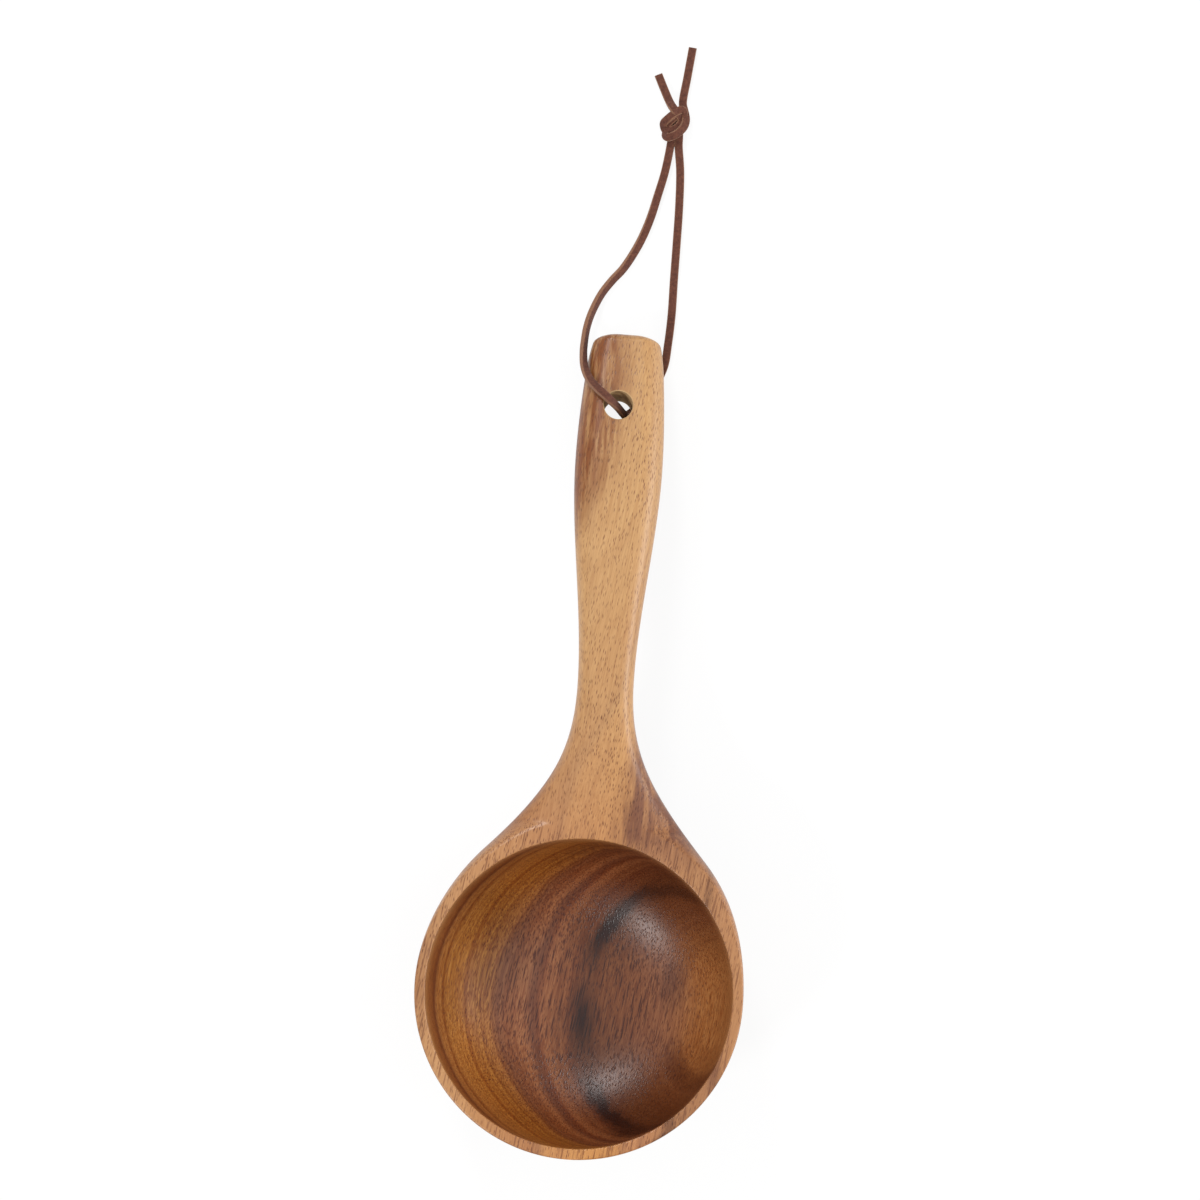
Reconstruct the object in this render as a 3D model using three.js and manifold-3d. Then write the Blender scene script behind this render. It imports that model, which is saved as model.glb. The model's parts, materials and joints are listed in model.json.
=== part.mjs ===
// A bath ladle carved from one block of acacia, with a leather thong tied through its handle.
// Millimetres, +Z up. The ladle lies on a table at z = 0, on the edge of its foot and the tip of its handle.
// +Y runs from the bowl to the tip of the handle, and the bowl's mouth faces up.

import * as THREE from "three";
import { mergeVertices } from "three/addons/utils/BufferGeometryUtils.js";
import Module from "manifold-3d";

// Driving dimensions of the bowl
const BOWL_DIAMETER = 120; // across the outside of the rim
const BOWL_HEIGHT = 52; // from the rim to the flat foot
const RIM_WIDTH = 3.9; // flat top of the rim, between the outside and the hollow
const RIM_EASE = 0.8; // rounding of the rim's outer edge
const FLOOR_THICKNESS = 7; // wood under the deepest point of the hollow
const FOOT_DIAMETER = 44; // flat planed under the bowl

// Driving dimensions of the handle. A station is a distance from the bowl's centre along the handle,
// and a rise is the height of the handle's top above the rim.
const HANDLE_REACH = 248; // bowl's centre to the tip
const SHOULDER_REACH = 70; // how far the bowl's outline is drawn out towards the handle
const SHOULDER_STATION = 51; // where the outline leaves the bowl and sweeps in to the neck
const SHOULDER_DROP = 10; // widest line of the shoulder below the rim
const SHOULDER_DRIFT = 2.6; // how far the hand-shaped shoulders lean to the right
const NECK_DRIFT = 1.4;
const CREASE_STATION = 63; // where the flat of the rim ends and the neck starts to rise
const CREASE_SLOPE = 0.14; // how steeply the neck leaves the rim
const THROAT_STATION = 83.5;
const THROAT_WIDTH = 33.4;
const THROAT_THICKNESS = 17.5;
const NECK_STATION = 114.5;
const NECK_WIDTH = 20.8;
const NECK_THICKNESS = 15.5;
const NECK_RISE = 6;
const GRIP_STATION = 198;
const GRIP_WIDTH = 32.9;
const GRIP_THICKNESS = 18.5;
const GRIP_RISE = 5.5;
const CORNER_FROM_TIP = 14; // where the sides turn in towards the tip
const CORNER_WIDTH = 29.3;
const TIP_WIDTH = 23.6; // where the sides would meet the tip if it were not rounded
const TIP_TAPER = 0.35; // how fast each side closes there
const TIP_THICKNESS = 17;
const TIP_RISE = 2.5;
const TIP_ROUND = 4; // length over which the tip is rounded

// Driving dimensions of the hanging hole
const HOLE_DIAMETER = 10.8;
const HOLE_FROM_TIP = 29; // hole's middle to the tip
const HOLE_OFFSET = 1.6; // drilled this far left of the handle's middle

// Driving dimensions of the thong, one flat leather lace with its two ends tied together
const LACE_WIDTH = 3.1;
const LACE_THICKNESS = 2.1;
const LACE_GAP = 0.3; // between neighbouring stretches
const STRAND_DIAMETER = 2.3; // the lace where the knot squeezes it round
const KNOT_CORE = 5.6; // across the middle of the knot, where the lace is pressed together
const KNOT_STRETCH = 1.3; // how much the knot is drawn out along the thong
const KNOT_FLAT = 0.42; // how much the table flattens it
const KNOT_TURN = 4.28; // degrees that the knot lies turned on the table

// Shares and shape powers. A power of 2 is an ellipse, and more is fuller.
const TOP_FLAT = 0.45; // share of the handle's width that is flat on top
const OUTSIDE_FULLNESS = 2.2;
const HOLLOW_FULLNESS = 2.6;
const TIP_FULLNESS = 2.5;

// How finely the curved faces are divided
const BOWL_RINGS = 12;
const SHOULDER_RINGS = 8;
const CREASE_RINGS = 5;
const NECK_RINGS = 12;
const GRIP_RINGS = 10;
const TIP_RINGS = 6;
const EDGE_POINTS = 5;
const TOP_POINTS = 6;
const UNDERSIDE_POINTS = 24;
const HOLLOW_RINGS = 14;
const HOLLOW_SEGMENTS = 60;
const HOLE_SEGMENTS = 28;
const RUN_STEPS = 35;
const TAIL_STEPS = 5;
const STRAND_STEPS = 30;
const LACE_SIDES = 8;
const KNOT_SIDES = 12;
const LACE_DIVISIONS = 16; // between two route points, to measure lengths
const TILT_TRIES = 40;

const wasm = await Module();
wasm.setup();

// Height of a unit superellipse at a share u of its width.
const superellipse = (u, power) => Math.pow(Math.max(0, 1 - Math.pow(Math.abs(u), power)), 1 / power);

// Point on a quarter of a unit superellipse, from (1, 0) to (0, 1) as the turn goes from 0 to a right angle.
function quarter(turn, power) {
  const across = Math.pow(Math.max(0, Math.cos(turn)), 2 / power);
  const up = Math.pow(Math.max(0, Math.sin(turn)), 2 / power);
  return [across, up];
}

// A smooth line through points [station, value, slope]. A slope that is left out follows the neighbours.
function smoothLine(points) {
  const slopes = points.map((point, i) => {
    const before = points[Math.max(0, i - 1)];
    const after = points[Math.min(points.length - 1, i + 1)];
    return point[2] ?? (after[1] - before[1]) / (after[0] - before[0]);
  });
  return (station) => {
    let i = 0;
    while (i < points.length - 2 && station > points[i + 1][0]) i += 1;
    const span = points[i + 1][0] - points[i][0];
    const u = THREE.MathUtils.clamp((station - points[i][0]) / span, 0, 1);
    const share = u * u * (3 - 2 * u);
    const level = THREE.MathUtils.lerp(points[i][1], points[i + 1][1], share);
    return level + span * (slopes[i] * u * (1 - u) * (1 - u) - slopes[i + 1] * u * u * (1 - u));
  };
}

const bowlRadius = BOWL_DIAMETER / 2;
const hollowRadius = bowlRadius - RIM_WIDTH;
const hollowDepth = BOWL_HEIGHT - FLOOR_THICKNESS;
const holeStation = HANDLE_REACH - HOLE_FROM_TIP;

// The bowl's outside is drawn as a full bowl, and the foot is planed off it.
const unplanedDepth = BOWL_HEIGHT / superellipse(FOOT_DIAMETER / 2 / bowlRadius, OUTSIDE_FULLNESS);

// Slope of a superellipse of the given width and height, falling away from its middle.
function slopeAt(station, width, height, power) {
  const u = station / width;
  return (height / width) * Math.pow(u, power - 1) * Math.pow(superellipse(u, power), 1 - power);
}

// Half-width of the ladle seen from above
const shoulderHalf = bowlRadius * superellipse(SHOULDER_STATION / SHOULDER_REACH, 2);
const handleHalfWidth = smoothLine([
  [SHOULDER_STATION, shoulderHalf, -slopeAt(SHOULDER_STATION, SHOULDER_REACH, bowlRadius, 2)],
  [THROAT_STATION, THROAT_WIDTH / 2],
  [NECK_STATION, NECK_WIDTH / 2, 0],
  [GRIP_STATION, GRIP_WIDTH / 2, 0],
  [HANDLE_REACH - CORNER_FROM_TIP, CORNER_WIDTH / 2],
  [HANDLE_REACH, TIP_WIDTH / 2, -TIP_TAPER],
]);
function halfWidth(station) {
  if (station < 0) return bowlRadius * superellipse(station / bowlRadius, 2);
  if (station < SHOULDER_STATION) return bowlRadius * superellipse(station / SHOULDER_REACH, 2);
  return handleHalfWidth(station);
}

// Half-width of the flat on top: the rim's flat as far as the crease, then a narrow land along the handle
function halfFlat(station) {
  const reach = station < 0 ? bowlRadius - RIM_EASE : CREASE_STATION;
  const rim = (bowlRadius - RIM_EASE) * superellipse(station / reach, 2);
  return Math.max(rim, TOP_FLAT * halfWidth(station));
}

// Heights along the ladle's middle, from the rim's plane: the top, the underside and the widest line
const handleTop = smoothLine([
  [CREASE_STATION, 0, CREASE_SLOPE],
  [NECK_STATION, NECK_RISE, 0],
  [GRIP_STATION, GRIP_RISE],
  [HANDLE_REACH, TIP_RISE],
]);
const topLine = (station) => (station < CREASE_STATION ? 0 : handleTop(station));

const shoulderDepth = unplanedDepth * superellipse(SHOULDER_STATION / bowlRadius, OUTSIDE_FULLNESS);
const handleUnderside = smoothLine([
  [SHOULDER_STATION, -shoulderDepth, slopeAt(SHOULDER_STATION, bowlRadius, unplanedDepth, OUTSIDE_FULLNESS)],
  [THROAT_STATION, handleTop(THROAT_STATION) - THROAT_THICKNESS],
  [NECK_STATION, NECK_RISE - NECK_THICKNESS],
  [GRIP_STATION, GRIP_RISE - GRIP_THICKNESS],
  [HANDLE_REACH, TIP_RISE - TIP_THICKNESS],
]);
function underside(station) {
  if (station > SHOULDER_STATION) return handleUnderside(station);
  return -unplanedDepth * superellipse(station / bowlRadius, OUTSIDE_FULLNESS);
}

const widestLine = smoothLine([
  [0, -RIM_EASE, 0],
  [SHOULDER_STATION, -SHOULDER_DROP],
  [NECK_STATION, NECK_RISE - NECK_THICKNESS / 2],
  [GRIP_STATION, GRIP_RISE - GRIP_THICKNESS / 2],
  [HANDLE_REACH, TIP_RISE - TIP_THICKNESS / 2],
]);

// The shoulders lean a little to the right, as a hand-shaped piece does.
const leanLine = smoothLine([
  [0, 0, 0],
  [CREASE_STATION, SHOULDER_DRIFT, 0],
  [NECK_STATION, NECK_DRIFT],
  [HANDLE_REACH, 0, 0],
]);

// Share of the full section that the rounded tip leaves at a station
function tipShare(station) {
  const into = Math.max(0, station - HANDLE_REACH + TIP_ROUND);
  return superellipse(into / TIP_ROUND, TIP_FULLNESS);
}

// One closed cross-section: the underside from right to left, the left edge, the top and the right edge.
function section(station) {
  const share = tipShare(station);
  const half = share * halfWidth(station);
  const flat = share * halfFlat(station);
  const middle = widestLine(station);
  const rise = share * (topLine(station) - middle);
  const depth = share * (middle - underside(station));
  const lean = leanLine(station);
  const ring = [];
  const point = (x, z) => ring.push(new THREE.Vector3(lean + x, station, middle + z));
  for (let k = 0; k <= UNDERSIDE_POINTS; k += 1) {
    const turn = (Math.PI * k) / UNDERSIDE_POINTS;
    const [across, down] = quarter(Math.min(turn, Math.PI - turn), OUTSIDE_FULLNESS);
    point(Math.sign(Math.PI / 2 - turn) * half * across, -depth * down);
  }
  const edge = (side, k) => {
    const [across, up] = quarter((Math.PI / 2) * (k / EDGE_POINTS), 2);
    point(side * (flat + (half - flat) * across), rise * up);
  };
  for (let k = 1; k <= EDGE_POINTS; k += 1) edge(-1, k);
  for (let k = 1; k < TOP_POINTS; k += 1) point(flat * ((2 * k) / TOP_POINTS - 1), rise);
  for (let k = EDGE_POINTS; k >= 1; k -= 1) edge(1, k);
  return ring;
}

// Stations of the cross-sections, close together where the form turns fast
function sectionStations() {
  const stations = [];
  const even = (from, to, count) => {
    for (let k = 0; k < count; k += 1) stations.push(THREE.MathUtils.lerp(from, to, k / count));
  };
  for (let k = 1; k < BOWL_RINGS; k += 1) {
    stations.push(-bowlRadius * Math.cos((Math.PI / 2) * (k / BOWL_RINGS)));
  }
  even(0, SHOULDER_STATION, SHOULDER_RINGS);
  even(SHOULDER_STATION, CREASE_STATION, CREASE_RINGS);
  even(CREASE_STATION, NECK_STATION, NECK_RINGS);
  even(NECK_STATION, GRIP_STATION, GRIP_RINGS);
  even(GRIP_STATION, HANDLE_REACH - TIP_ROUND, TIP_RINGS);
  for (let k = 0; k < TIP_RINGS; k += 1) {
    stations.push(HANDLE_REACH - TIP_ROUND * (1 - Math.sin((Math.PI / 2) * (k / TIP_RINGS))));
  }
  return stations;
}

// A skin over closed rings, with a pole at each end
function loft(rings, firstPole, lastPole) {
  const size = rings[0].length;
  const points = [firstPole, ...rings.flat(), lastPole];
  const index = [];
  const at = (ring, k) => 1 + ring * size + (k % size);
  for (let k = 0; k < size; k += 1) {
    index.push(0, at(0, k + 1), at(0, k));
    index.push(points.length - 1, at(rings.length - 1, k), at(rings.length - 1, k + 1));
    for (let ring = 0; ring + 1 < rings.length; ring += 1) {
      index.push(at(ring, k), at(ring + 1, k + 1), at(ring + 1, k));
      index.push(at(ring, k), at(ring, k + 1), at(ring + 1, k + 1));
    }
  }
  return new THREE.BufferGeometry().setFromPoints(points).setIndex(index);
}

// A closed mesh as a solid that can be joined and cut
function solid(geometry) {
  const bare = geometry.clone();
  bare.deleteAttribute("normal");
  bare.deleteAttribute("uv");
  const merged = mergeVertices(bare);
  const corners = merged.index.array;
  const triVerts = [];
  for (let k = 0; k < corners.length; k += 3) {
    const [a, b, c] = corners.subarray(k, k + 3);
    if (a !== b && b !== c && c !== a) triVerts.push(a, b, c);
  }
  const vertProperties = new Float32Array(merged.attributes.position.array);
  const mesh = new wasm.Mesh({ numProp: 3, vertProperties, triVerts: new Uint32Array(triVerts) });
  return new wasm.Manifold(mesh);
}

function geometryOf(shape) {
  const { vertProperties, triVerts } = shape.getMesh();
  const geometry = new THREE.BufferGeometry();
  geometry.setAttribute("position", new THREE.BufferAttribute(vertProperties, 3));
  geometry.setIndex(new THREE.BufferAttribute(triVerts, 1));
  geometry.computeVertexNormals();
  return geometry;
}

// The ladle: one loft, planed flat under the bowl, hollowed by a revolved cut and drilled through the handle
function carvedLadle() {
  const firstPole = new THREE.Vector3(0, -bowlRadius, -RIM_EASE);
  const lastPole = new THREE.Vector3(0, HANDLE_REACH, widestLine(HANDLE_REACH));
  const block = solid(loft(sectionStations().map(section), firstPole, lastPole));

  const planing = new THREE.BoxGeometry(BOWL_DIAMETER, BOWL_DIAMETER, BOWL_HEIGHT);
  planing.translate(0, 0, -1.5 * BOWL_HEIGHT);

  const cut = [];
  for (let k = 0; k <= HOLLOW_RINGS; k += 1) {
    const [down, across] = quarter((Math.PI / 2) * (k / HOLLOW_RINGS), HOLLOW_FULLNESS);
    cut.push(new THREE.Vector2(hollowRadius * across, -hollowDepth * down));
  }
  cut.push(new THREE.Vector2(hollowRadius, hollowDepth), new THREE.Vector2(0, hollowDepth));
  const hollow = new THREE.LatheGeometry(cut, HOLLOW_SEGMENTS);
  hollow.rotateX(Math.PI / 2);

  const holeRadius = HOLE_DIAMETER / 2;
  const hole = new THREE.CylinderGeometry(holeRadius, holeRadius, 4 * GRIP_THICKNESS, HOLE_SEGMENTS);
  hole.rotateX(Math.PI / 2);
  hole.translate(-HOLE_OFFSET, holeStation, 0);

  return geometryOf([planing, hollow, hole].reduce((shape, tool) => shape.subtract(solid(tool)), block));
}

// Tilt at which the bowl and the handle both reach the table
function restingTilt(geometry) {
  const points = geometry.attributes.position;
  const lowest = (tilt, isHandle) => {
    let low = Infinity;
    for (let k = 0; k < points.count; k += 1) {
      const onHandle = points.getY(k) > NECK_STATION;
      const height = points.getZ(k) * Math.cos(tilt) - points.getY(k) * Math.sin(tilt);
      if (onHandle === isHandle) low = Math.min(low, height);
    }
    return low;
  };
  let level = 0;
  let steep = Math.PI / 4;
  for (let k = 0; k < TILT_TRIES; k += 1) {
    const tilt = (level + steep) / 2;
    if (lowest(tilt, true) > lowest(tilt, false)) level = tilt;
    else steep = tilt;
  }
  return level;
}

const acacia = new THREE.MeshStandardMaterial({ color: "#b98a5a", roughness: 0.5, metalness: 0 });
const leather = new THREE.MeshStandardMaterial({ color: "#7a4b38", roughness: 0.75, metalness: 0 });

function named(name, geometry, material) {
  const mesh = new THREE.Mesh(geometry, material);
  mesh.name = name;
  return mesh;
}

function ladleAtRest() {
  const body = named("ladle_body", carvedLadle(), acacia);
  body.rotation.x = -restingTilt(body.geometry);
  body.updateMatrixWorld();
  const box = new THREE.Box3().setFromObject(body, true);
  const middle = box.getCenter(new THREE.Vector3());
  body.position.set(-middle.x, -middle.y, -box.min.z);
  body.updateMatrixWorld();
  return body;
}

// Routes of the lace's two halves, from the middle of the hole to the knot. Each point is measured from the
// hole's upper mouth in plan, and from the table in height.
const FRONT_ROUTE = [
  [1.6, -2.3, 14],
  [0, -0.9, 18.6],
  [-2.6, 1.1, 23.1],
  [-5.2, 3.1, 24.3],
  [-7.8, 5.2, 23.2],
  [-11.2, 8.5, 20.8],
  [-13.7, 13.4, 16.8],
  [-14.6, 19, 12.5],
  [-14.6, 23.9, 9],
  [-14.2, 28.8, 6.6],
  [-13.2, 33.6, 4.8],
  [-11.5, 38.5, 3.5],
  [-9.2, 43.4, 2.6],
  [-5.8, 48.4, 2],
  [-1.9, 53.3, 1.6],
  [3.3, 63, 1.3],
  [6.7, 72.4, 1.3],
  [9, 81.8, 1.3],
  [11.1, 91.1, 1.3],
];
const BACK_ROUTE = [
  [1.6, -2.3, 14],
  [2.8, -3.3, 10.5],
  [2.7, -3.6, 6.5],
  [3.4, -2.9, 3.4],
  [5.8, -0.6, 1.7],
  [8.9, 3, 1.4],
  [13.4, 9.9, 1.3],
  [16.3, 17, 1.3],
  [17.2, 26, 1.3],
  [17.7, 36.6, 1.3],
  [17.6, 50, 1.3],
  [17.6, 64.1, 1.3],
  [17.5, 78, 1.3],
  [16.9, 91.6, 1.3],
];

// The knot lies on the table beyond the handle. Its points run across, along and above its middle: each half
// comes in underneath, rises to the right, turns back over the top and down the left side, crosses over both
// halves and goes up the right side. The front half leaves over the top turn and the back half under it.
const KNOT_PLACE = [13.5, 109, 3.1];
const FRONT_KNOT = [
  [-1.7, -7.6, -1.7],
  [-0.9, -5.2, -1.7],
  [-0.2, -2.8, -1.5],
  [0.6, -0.6, -0.8],
  [1.5, 1.2, 0.2],
  [1.8, 2.6, 0.8],
  [0.7, 3.3, 1],
  [-0.9, 2.7, 0.9],
  [-2.3, 1.3, 0.6],
  [-2.9, -0.4, 0.3],
  [-2.5, -2, 0.6],
  [-1.2, -2.6, 1],
  [0.4, -2.2, 1],
  [1.7, -1, 0.4],
  [2, 0.6, -0.4],
  [1.5, 2, -0.5],
  [0.7, 3.2, 0.5],
  [0.1, 4.5, 1.9],
  [-0.5, 5.8, 2.2],
  [-1.3, 7.3, 1.1],
];
const SHORT_TAIL = [
  [-2.2, 9.4, -0.8],
  [-4.1, 14.1, -1.8],
  [-6.2, 19.4, -1.8],
];
const BACK_KNOT = [
  [1.5, -7.6, -1.7],
  [1.6, -5, -1.7],
  [1.9, -2.2, -1.4],
  [2.6, 0.4, -0.5],
  [3.5, 2.6, 0.6],
  [3.8, 4.5, 1.2],
  [2.6, 5.7, 1.2],
  [0.5, 5.2, 0.8],
  [-1.9, 3.9, 0.8],
  [-3.6, 1.8, 0.5],
  [-4.3, -0.6, 0],
  [-4, -3.2, 0.3],
  [-2.9, -5.1, 1.1],
  [-0.5, -5.2, 1.6],
  [2, -4.1, 1.6],
  [4, -1.8, 1.1],
  [4.9, 0.9, 0.2],
  [4.6, 3.4, -0.8],
  [3.6, 5.6, -1.4],
];
const LONG_TAIL = [
  [3.1, 8.4, -1.7],
  [4.9, 18.7, -1.8],
  [6.9, 29.6, -1.8],
];
// Turns the knot and moves it to where it lies.
const knotMatrix = new THREE.Matrix4().makeRotationZ(THREE.MathUtils.degToRad(KNOT_TURN));
knotMatrix.setPosition(...KNOT_PLACE);

// One half of the lace from the hole to its cut end, and the lengths at which the knot starts and ends.
function halfLace(route, knot, tail) {
  const free = route.map((point) => new THREE.Vector3(...point));
  const tied = [...knot, ...tail].map((point) => new THREE.Vector3(...point));
  for (const point of tied) point.applyMatrix4(knotMatrix);
  const path = new THREE.CatmullRomCurve3([...free, ...tied]);
  path.arcLengthDivisions = LACE_DIVISIONS * (path.points.length - 1);
  const lengthAt = (k) => path.getLengths()[LACE_DIVISIONS * k];
  return { path, knotStart: lengthAt(free.length), knotEnd: lengthAt(path.points.length - tail.length) };
}

// Part of a path between two lengths along it, which may run backwards
class Stretch extends THREE.Curve {
  constructor(path, from, to) {
    super();
    this.path = path;
    this.from = from;
    this.to = to;
  }

  getPoint(share, target) {
    const length = THREE.MathUtils.lerp(this.from, this.to, share);
    return this.path.getPointAt(length / this.path.getLength(), target);
  }
}

// A stretch of lace with an eight-sided section. Where its path starts level, the lace lies flat.
function lace(path, from, to, steps, width, thickness) {
  const corners = [];
  for (let k = 0; k < LACE_SIDES; k += 1) {
    const turn = (2 * Math.PI * (k + 0.5)) / LACE_SIDES;
    const out = 0.5 / Math.cos(Math.PI / LACE_SIDES);
    corners.push(new THREE.Vector2(thickness * out * Math.cos(turn), width * out * Math.sin(turn)));
  }
  const extrudePath = new Stretch(path, from, to);
  return new THREE.ExtrudeGeometry(new THREE.Shape(corners), { steps, extrudePath, bevelEnabled: false });
}

const run = ({ path, knotStart }) =>
  lace(path, knotStart - LACE_GAP / 2, LACE_GAP / 2, RUN_STEPS, LACE_WIDTH, LACE_THICKNESS);

const tailOf = ({ path, knotEnd }) =>
  lace(path, path.getLength(), knotEnd + LACE_GAP / 2, TAIL_STEPS, LACE_WIDTH, LACE_THICKNESS);

// The knot, both halves pulled tight into one mass
function tiedKnot(halves) {
  const core = new THREE.SphereGeometry(KNOT_CORE / 2, KNOT_SIDES, LACE_SIDES);
  core.scale(1, KNOT_STRETCH, KNOT_FLAT);
  core.applyMatrix4(knotMatrix);
  const strands = halves.flatMap(({ path, knotStart, knotEnd }) => {
    const middle = (knotStart + knotEnd) / 2;
    return [
      lace(path, knotStart + LACE_GAP / 2, middle + LACE_GAP, STRAND_STEPS, STRAND_DIAMETER, STRAND_DIAMETER),
      lace(path, middle - LACE_GAP, knotEnd - LACE_GAP / 2, STRAND_STEPS, STRAND_DIAMETER, STRAND_DIAMETER),
    ];
  });
  return geometryOf(strands.reduce((shape, strand) => shape.add(solid(strand)), solid(core)));
}

const ladle = ladleAtRest();
const mouth = new THREE.Vector3(-HOLE_OFFSET, holeStation, topLine(holeStation));
mouth.applyMatrix4(ladle.matrixWorld);
const front = halfLace(FRONT_ROUTE, FRONT_KNOT, SHORT_TAIL);
const back = halfLace(BACK_ROUTE, BACK_KNOT, LONG_TAIL);
const thong = [
  named("thong_front_run", run(front), leather),
  named("thong_back_run", run(back), leather),
  named("thong_knot", tiedKnot([front, back]), leather),
  named("thong_long_tail", tailOf(back), leather),
  named("thong_short_tail", tailOf(front), leather),
];
for (const piece of thong) piece.position.set(mouth.x, mouth.y, 0);

const part = new THREE.Group();
part.name = "bath_ladle";
part.add(ladle, ...thong);

export default part;
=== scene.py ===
import json
import math

import bpy
from mathutils import Matrix, Vector


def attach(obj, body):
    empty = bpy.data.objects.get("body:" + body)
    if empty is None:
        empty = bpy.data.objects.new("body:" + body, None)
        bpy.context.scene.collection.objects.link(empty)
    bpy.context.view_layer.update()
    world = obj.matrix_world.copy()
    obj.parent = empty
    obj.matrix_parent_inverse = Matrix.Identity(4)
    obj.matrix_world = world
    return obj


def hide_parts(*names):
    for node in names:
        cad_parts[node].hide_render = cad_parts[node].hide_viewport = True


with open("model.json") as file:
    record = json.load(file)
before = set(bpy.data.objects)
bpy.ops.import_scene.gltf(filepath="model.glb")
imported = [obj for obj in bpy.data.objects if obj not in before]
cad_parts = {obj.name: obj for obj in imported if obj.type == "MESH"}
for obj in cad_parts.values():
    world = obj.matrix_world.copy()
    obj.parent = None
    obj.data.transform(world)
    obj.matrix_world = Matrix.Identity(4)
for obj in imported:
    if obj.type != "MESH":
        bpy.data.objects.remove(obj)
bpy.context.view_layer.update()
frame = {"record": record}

# The ladle: bowl and handle are one block of acacia, sawn to outline and shaped by hand.
# The bowl is turned hollow and planed flat underneath, and the handle is drilled for the thong.
# Sizes are in metres. A station is a distance from the bowl's centre along the handle.
BOWL_DIAMETER = 0.120
BOWL_HEIGHT = 0.052
RIM_WIDTH = 0.0039
RIM_EASE = 0.0008
LIP_EASE = 0.0005
FLOOR_THICKNESS = 0.007
FOOT_DIAMETER = 0.044
FOOT_EASE = 0.0006
HANDLE_REACH = 0.248
SHOULDER_REACH = 0.070
SHOULDER_STATION = 0.051
SHOULDER_DROP = 0.010
SHOULDER_DRIFT = 0.0026
NECK_DRIFT = 0.0014
CREASE_STATION = 0.063
CREASE_SLOPE = 0.14
THROAT_STATION = 0.0835
THROAT_WIDTH = 0.0334
THROAT_THICKNESS = 0.0175
NECK_STATION = 0.1145
NECK_WIDTH = 0.0208
NECK_THICKNESS = 0.0155
NECK_RISE = 0.006
GRIP_STATION = 0.198
GRIP_WIDTH = 0.0329
GRIP_THICKNESS = 0.0185
GRIP_RISE = 0.0055
CORNER_FROM_TIP = 0.014
CORNER_WIDTH = 0.0293
TIP_WIDTH = 0.0236
TIP_TAPER = 0.35
TIP_THICKNESS = 0.017
TIP_RISE = 0.0025
TIP_ROUND = 0.004
HOLE_DIAMETER = 0.0108
HOLE_EASE = 0.0006
HOLE_FROM_TIP = 0.029
HOLE_OFFSET = 0.0016
TOP_FLAT = 0.45
OUTSIDE_FULLNESS = 2.2
HOLLOW_FULLNESS = 2.6
TIP_FULLNESS = 2.5

bowl_radius = BOWL_DIAMETER / 2
hollow_radius = bowl_radius - RIM_WIDTH
hollow_depth = BOWL_HEIGHT - FLOOR_THICKNESS
hole_radius = HOLE_DIAMETER / 2
hole_station = HANDLE_REACH - HOLE_FROM_TIP

# The ladle lies tipped back onto the edge of its foot and the tip of its handle.
foot = frame["record"]["mounts"][0]
bowl_axis = -Vector(foot["axis"])
rim_centre = Vector(foot["pos_m"]) + BOWL_HEIGHT * bowl_axis
tilt = math.atan2(bowl_axis.y, bowl_axis.z)
ladle_matrix = Matrix.Translation(rim_centre) @ Matrix.Rotation(-tilt, 4, "X")


def superellipse(share, power):
    """Height of a unit superellipse at a share of its width."""
    return max(0.0, 1.0 - abs(share) ** power) ** (1.0 / power)


def quarter(turn, power):
    """Point on a quarter of a unit superellipse, from (1, 0) to (0, 1)."""
    return max(0.0, math.cos(turn)) ** (2 / power), max(0.0, math.sin(turn)) ** (2 / power)


def slope_at(station, width, height, power):
    """Slope of a superellipse of that width and height, falling away from its middle."""
    share = station / width
    return height / width * share ** (power - 1) * superellipse(share, power) ** (1 - power)


def smooth_line(*points):
    """A smooth line through (station, value, slope). A slope that is left out follows the neighbours."""
    slopes = []
    for i, point in enumerate(points):
        before, after = points[max(0, i - 1)], points[min(len(points) - 1, i + 1)]
        slopes.append(point[2] if len(point) == 3 else (after[1] - before[1]) / (after[0] - before[0]))

    def value(station):
        """The line's value there, or at its nearer end."""
        i = 0
        while i < len(points) - 2 and station > points[i + 1][0]:
            i += 1
        span = points[i + 1][0] - points[i][0]
        u = min(1.0, max(0.0, (station - points[i][0]) / span))
        level = points[i][1] + (points[i + 1][1] - points[i][1]) * u * u * (3 - 2 * u)
        return level + span * (slopes[i] * u * (1 - u) ** 2 - slopes[i + 1] * u * u * (1 - u))

    return value


unplaned_depth = BOWL_HEIGHT / superellipse(FOOT_DIAMETER / 2 / bowl_radius, OUTSIDE_FULLNESS)
shoulder_half = bowl_radius * superellipse(SHOULDER_STATION / SHOULDER_REACH, 2)
shoulder_depth = unplaned_depth * superellipse(SHOULDER_STATION / bowl_radius, OUTSIDE_FULLNESS)
shoulder_slope = slope_at(SHOULDER_STATION, bowl_radius, unplaned_depth, OUTSIDE_FULLNESS)
handle_half = smooth_line(
    (SHOULDER_STATION, shoulder_half, -slope_at(SHOULDER_STATION, SHOULDER_REACH, bowl_radius, 2)),
    (THROAT_STATION, THROAT_WIDTH / 2),
    (NECK_STATION, NECK_WIDTH / 2, 0),
    (GRIP_STATION, GRIP_WIDTH / 2, 0),
    (HANDLE_REACH - CORNER_FROM_TIP, CORNER_WIDTH / 2),
    (HANDLE_REACH, TIP_WIDTH / 2, -TIP_TAPER),
)
handle_top = smooth_line(
    (CREASE_STATION, 0, CREASE_SLOPE),
    (NECK_STATION, NECK_RISE, 0),
    (GRIP_STATION, GRIP_RISE),
    (HANDLE_REACH, TIP_RISE),
)
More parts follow.
